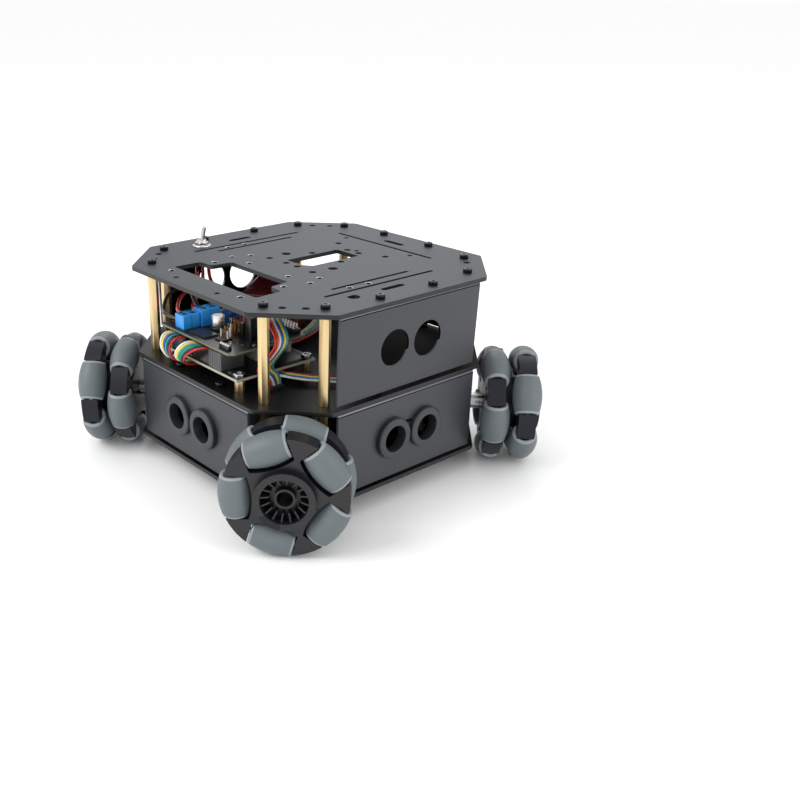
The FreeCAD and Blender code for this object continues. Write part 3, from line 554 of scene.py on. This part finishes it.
details = show("board_details", to_mesh(bits, "bits"), "chassis",
               BLACK_PLASTIC_AND_HOLE_SHADE, TINNED, GOLD, NAVY, SHELL, ORANGE, WHITE_GLINT)
# the white disc on the capacitor top is a painted highlight
can = bmesh.new()
drum(can, (-8.0, -62.6, SHIELD), 4.3, 1.6, 0, 32)
drum(can, (-8.0, -62.6, SHIELD + 8.98), 3.2, 0.08, 1, 32)
show("can_base", to_mesh(can, "can"), "chassis", BLACK_PLASTIC_AND_HOLE_SHADE, WHITE_GLINT)

# ---- hook-up wires ----
P = 1.5                            # step from wire to wire
WIRE_R, LEAD_R = 0.65, 1.15
BOOT, DECKING, LAID = 70.1, 72.7, 69.2
LOWEST_WIRE = 68.0                 # boots and sleeves start below this, wires and leads above it
PLUG, CREST, PINS, LUG, ENTRY = BOARD + 9.8, BOARD + 12.1, SHIELD + 8.5, 106.6, SHIELD + 3.5
TX, TY = -71.4, -29.8


def strand(name, points, radius, mat):
    curve = bpy.data.curves.new(name, "CURVE")
    curve.dimensions = "3D"
    curve.bevel_depth = radius * MM
    curve.bevel_resolution = 4
    curve.resolution_u = 8
    curve.use_fill_caps = True
    line = curve.splines.new("NURBS")
    line.points.add(len(points) - 1)
    for point, at in zip(line.points, points):
        point.co = (at[0] * MM, at[1] * MM, at[2] * MM, 1.0)
    line.order_u = 3
    line.use_endpoint_u = True
    curve.materials.append(mat)
    piece = bpy.data.objects.new(name, curve)
    bpy.context.scene.collection.objects.link(piece)
    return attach(piece, "chassis")


def cable(name, route, colours):
    """Six wires side by side; each point of the route carries the step from wire to wire."""
    for k, mat in enumerate(colours):
        lane = k - 2.5
        points = [[p + lane * d for p, d in zip(at, step)] for at, step in route]
        strand(f"{name}_{k + 1}", points, WIRE_R, mat)


def stems():
    """The boots in the middle plate and the sleeves below it, from the node's own solids."""
    bm = welded("hookup_wires")
    for verts in islands(bm):
        if box_of(verts)[0].z > LOWEST_WIRE * MM:
            bmesh.ops.delete(bm, geom=verts, context="VERTS")
    piece = show("cable_boots", to_mesh(bm, "stems"), "chassis", SLEEVE)
    eased(piece, 0.3)
    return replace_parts(piece, "hookup_wires")


stems()
cable("left_motor_wire",
      [((-42, -60, BOOT), (P, 0, 0)),
       ((-42, -60, DECKING), (P, 0, 0)),
       ((-42, -66, DECKING), (P, 0.45 * P, 0)),
       ((-25, -77, DECKING), (P, 0.45 * P, 0)),
       ((-22, -86, DECKING - 1), (1.55, 0, 0)),
       ((-24, -91, 80.5), (1.8, 0, 0)),
       ((-22.9, -86.5, CREST), (2.54, 0, 0)),
       ((-22.9, -80.8, PLUG), (2.54, 0, 0))],
      (WHITE, YELLOW, BLUE, TEAL, BLACK, RED))
cable("rear_motor_wire",
      [((-42, 60, BOOT), (P, 0, 0)),
       ((-42, 60, DECKING), (P, 0, 0)),
       ((-37, 50, DECKING), (P, 0.5 * P, 0)),
       ((-2, -2, DECKING - 1), (P, 0.4 * P, 0)),
       ((-11, -45, DECKING - 1), (P, 0, 0)),
       ((-11.5, -85, DECKING - 1), (1.5, 0, 0)),
       ((-8, -91.5, 80.5), (1.8, 0, 0)),
       ((0.4, -86.5, CREST), (2.8, 0, 0)),
       ((0.4, -80.8, PLUG), (2.8, 0, 0))],
      (WHITE, YELLOW, TEAL, GREEN, BLACK, RED))
cable("front_motor_wire",
      [((42, -60, BOOT), (0, P, 0)),
       ((42, -60.5, 74.5), (0, 1.25 * P, 0)),
       ((38.5, -66, 80), (0, 1.45 * P, 0)),
       ((50, -67, 91), (0, P, 0)),
       ((56.5, -65, 101), (0.2, P, 0)),
       ((45, -63, 110), (0.2, P, 0)),
       ((30, -54, 109), (0, 1.8, 0)),
       ((11.25, -52, 108), (0, 2.4, 0)),
       ((11.25, -52, PINS), (0, 2.4, 0))],
      (RED, ORANGE, WHITE, BLUE, YELLOW, TEAL))
cable("right_motor_wire",
      [((24, -50, 72.2), (0, P, 0)),
       ((38, -50.5, 72.2), (-0.4 * P, 1.0 * P, 0)),
       ((61, -27, 70.6), (-0.85 * P, 0.6 * P, 0)),
       ((70, -12, LAID), (-P, 0.3 * P, 0)),
       ((70, 10, LAID), (-P, 0, 0)),
       ((70, 22, DECKING + 1.4), (-P, 0, 0)),
       ((70, 22, BOOT), (-P, 0, 0))],
      (WHITE, BLUE, TEAL, YELLOW, RED, BLACK))
LEADS = [("switch_lead", RED, [(-48.8, -11.6, 88), (-55, -16.3, 89), (-65, -20.5, 93),
                               (TX, TY + 4.7, 98), (TX, TY + 4.7, LUG)]),
         ("supply_lead_1", RED, [(TX, TY - 4.7, LUG), (TX, TY - 4.9, 97), (-64, -52, 95),
                                 (-52, -62, 94), (-40, -70, 94), (-28.5, -70.5, ENTRY)]),
         ("return_lead_1", BLACK, [(-45.2, -16.4, 88), (-51.6, -21.2, 88), (-62, -40, 100),
                                   (-62, -62, 101), (-56.5, -70.5, 91.5), (-44, -75.6, 92),
                                   (-28.5, -75.6, ENTRY)]),
         ("supply_lead_2", RED, [(-27, -63.5, ENTRY), (-40, -60, 95), (-56, -46, 94),
                                 (-66, -34, 94), (TX, TY, 98), (TX, TY, LUG)]),
         ("return_lead_2", BLACK, [(-41.6, -21.2, 90), (-47.5, -26, 91), (-57, -36, 104),
                                   (-55, -50, 106), (-42, -57.5, 97), (-27, -58, ENTRY)])]
for name, mat, points in LEADS:
    strand(name, points, LEAD_R, mat)

# ---- rollers ----
HALF, BELLY, END, SEAT, BORE, DISH = 11.7, 8.85, 6.86, 5.0, 1.56, 1.2
MOULD_LINE = 0.05                  # depth of the fine line round the belly


def roller_mesh():
    """Barrel roller about +Z: materials 0 rubber, 1 dished end, 2 lip painted lighter as a
    highlight.
    """
    steps = 26
    rise = BELLY - END
    radius = (HALF * HALF + rise * rise) / (2 * rise)
    outline, marks = [], []

    def put(r, z, mark):
        outline.append((r, z))
        marks.append(mark)

    put(BORE, -HALF + DISH, 1)
    put(SEAT - 0.3, -HALF + DISH, 1)
    put(SEAT, -HALF + 0.5, 2)
    put(SEAT + 0.5, -HALF, 2)
    put(END - 0.35, -HALF, 2)
    for k in range(steps + 1):
        z = -HALF + 0.3 + (2 * HALF - 0.6) * k / steps
        r = BELLY - radius + math.sqrt(radius * radius - z * z)
        near_lip = k == 0 or k >= steps - 1
        put(r - MOULD_LINE if k == steps // 2 else r, z, 2 if near_lip else 0)
    put(END - 0.35, HALF, 2)
    put(SEAT + 0.5, HALF, 2)
    put(SEAT, HALF - 0.5, 2)
    put(SEAT - 0.3, HALF - DISH, 1)
    put(BORE, HALF - DISH, 1)
    return lathe(outline, 64, "roller", marks)


shared_roller = roller_mesh()
for m in (RUBBER, HUB_RECESS_SHADE_AND_CORE, ROLLER_LIP_HIGHLIGHT):
    shared_roller.materials.append(m)
for wheel in WHEEL_NAMES:
    for row in ("outer", "inner"):
        for k in range(1, 6):
            body = f"roller_{wheel}_{row}{k}"
            joint = JOINTS[body + "_spin"]
            piece = bpy.data.objects.new(f"tread_{wheel}_{row}{k}", shared_roller)
            bpy.context.scene.collection.objects.link(piece)
            piece.matrix_world = along(joint["pos_m"], joint["axis"])
            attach(piece, body)
            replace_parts(piece, body)

# ---- hubs ----
for wheel in WHEEL_NAMES:
    node = "hub_" + wheel
    joint = JOINTS[f"wheel_{wheel}_spin"]
    centre, axis = Vector(joint["pos_m"]), Vector(joint["axis"]).normalized()
    bm = welded(node)
    halves, metal = bmesh.new(), bmesh.new()
    for verts in islands(bm):
        reach = max((v.co - centre - axis * (v.co - centre).dot(axis)).length for v in verts)
        heights = [(v.co - centre).dot(axis) for v in verts]
        long = max(heights) - min(heights)
        part = only(bm, verts)
        mesh = to_mesh(part, "part")
        plastic = reach > 30 * MM and long > 5 * MM
        (halves if plastic else metal).from_mesh(mesh)
        bpy.data.meshes.remove(mesh)
    bm.free()
    for f in halves.faces:
        away = f.calc_center_median() - centre
        radial = (away - axis * away.dot(axis)).length
        # the recess faces get the darker hub colour: painted shade
        f.material_index = 1 if radial < 12.4 * MM and away.dot(axis) > 0 else 0
    for b in (halves, metal):
        bmesh.ops.recalc_face_normals(b, faces=b.faces)
    star = show(f"star_{wheel}", to_mesh(halves, "star"), "wheel_" + wheel, HUB, HUB_RECESS_SHADE_AND_CORE)
    eased(star, 0.3)
    pins = show(f"axle_{wheel}", to_mesh(metal, "axle"), "wheel_" + wheel, STEEL)
    eased(pins, 0.12)
    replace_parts(star, node)

# ---- floor and light ----
FAR = 30.0                         # metres
ground = bpy.data.meshes.new("ground")
ground.from_pydata([(-FAR, -FAR, 0), (FAR, -FAR, 0), (FAR, FAR, 0), (-FAR, FAR, 0)], [],
                   [(0, 1, 2, 3)])
floor = bpy.data.objects.new("floor", ground)
bpy.context.scene.collection.objects.link(floor)
floor.location.z = -0.0002
FLOOR = finish("studio_floor", (0.975, 0.975, 0.975), 0.95, spread=0.004, patch=2, grain=40)
floor.data.materials.append(FLOOR)


def area(name, at, towards, size, power, colour=(1, 1, 1)):
    data = bpy.data.lights.new(name, "AREA")
    data.shape = "DISK"
    data.size = size
    data.energy = power
    data.color = colour
    lamp = bpy.data.objects.new(name, data)
    bpy.context.scene.collection.objects.link(lamp)
    lamp.location = at
    lamp.rotation_euler = (Vector(towards) - Vector(at)).to_track_quat("-Z", "Y").to_euler()


centre = (Vector(cad_box[0]) + Vector(cad_box[1])) / 2
area("key", (-0.4, -1.3, 1.2), centre, 1.2, 16)
area("back", (-0.9, 0.9, 1.1), centre, 0.9, 5)
area("side", (1.4, 0.5, 0.7), centre, 0.9, 5)
world = bpy.data.worlds.new("studio")
bpy.context.scene.world = world
world.use_nodes = True
world.node_tree.nodes["Background"].inputs["Color"].default_value = (1, 1, 1, 1)
world.node_tree.nodes["Background"].inputs["Strength"].default_value = 1.0
bpy.context.scene.view_settings.view_transform = "Standard"
